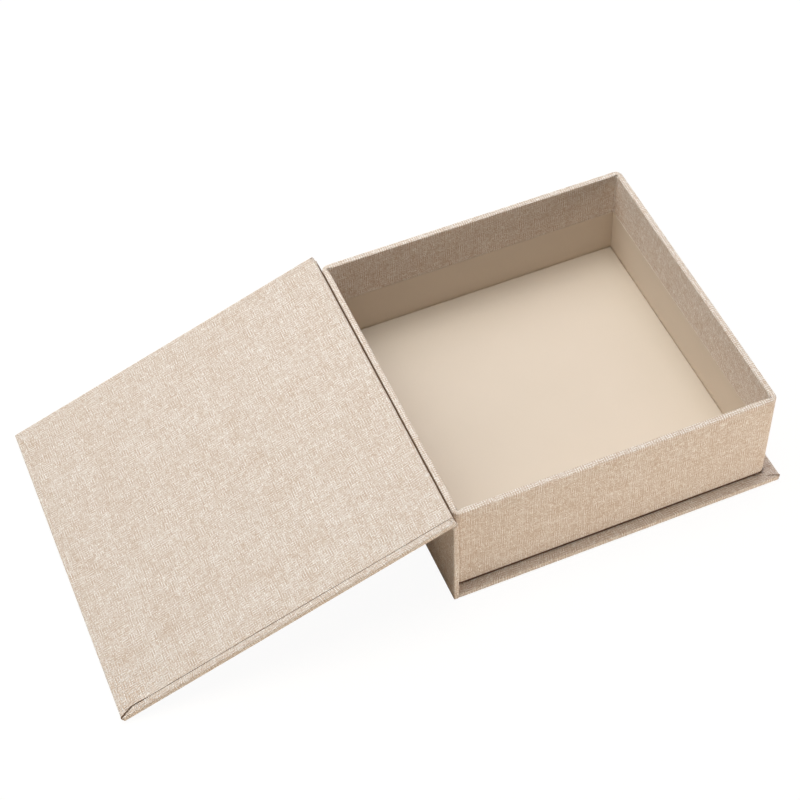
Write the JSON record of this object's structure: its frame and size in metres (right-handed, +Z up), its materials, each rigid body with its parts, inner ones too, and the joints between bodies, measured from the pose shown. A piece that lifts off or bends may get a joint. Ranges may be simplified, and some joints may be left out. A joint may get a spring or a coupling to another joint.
{
  "type": "hinged gift box",
  "caption": "Book-style gift box: a square linen-covered tray glued on a case of boards, whose cloth-hinged lid is swung right over and lies open on the table.",
  "frame": {"origin": "under the middle of the tray, on the flat underside of the base, which is the plane the box stands on", "axes": "+Z up; X runs across the box from the spine, at -X, to the fore-edge, at +X; Y runs along the spine, and the box is a mirror image of itself across Y = 0; the open lid reaches out to -X"},
  "size_m": [0.4068, 0.213, 0.0753],
  "materials": {
    "linen_bookcloth": "plain linen weave with pale slubs, matt",
    "greyboard": "raw grey board, matt",
    "lining_paper": "smooth uncoated paper, matt",
    "gummed_tape": "brown kraft tape, slightly shiny"
  },
  "bodies": {
    "box": {"base_cover_cloth": "linen_bookcloth", "spine_cover_cloth": "linen_bookcloth", "spine_lining_cloth": "linen_bookcloth", "hinge_cloth": "linen_bookcloth", "tray_cover_cloth": "linen_bookcloth", "base_board": "greyboard", "spine_board": "greyboard", "tray_floor_board": "greyboard", "tray_near_wall_board": "greyboard", "tray_far_wall_board": "greyboard", "tray_spine_wall_board": "greyboard", "tray_fore_wall_board": "greyboard", "floor_lining_paper": "lining_paper", "wall_lining_paper_near": "lining_paper", "wall_lining_paper_far": "lining_paper", "wall_lining_paper_spine": "lining_paper", "wall_lining_paper_fore": "lining_paper", "corner_tape_near_spine": "gummed_tape", "corner_tape_near_fore": "gummed_tape", "corner_tape_far_spine": "gummed_tape", "corner_tape_far_fore": "gummed_tape"},
    "lid": {"lid_board": "greyboard", "lid_cover_cloth": "linen_bookcloth", "lid_lining_cloth": "linen_bookcloth"}
  },
  "joints": [
    {"name": "lid_hinge", "type": "hinge", "parent": "box", "child": "lid", "pos_m": [-0.103, 0, 0.0736], "axis": [0, 1, 0], "range_deg": [0, 199.9]}
  ]
}
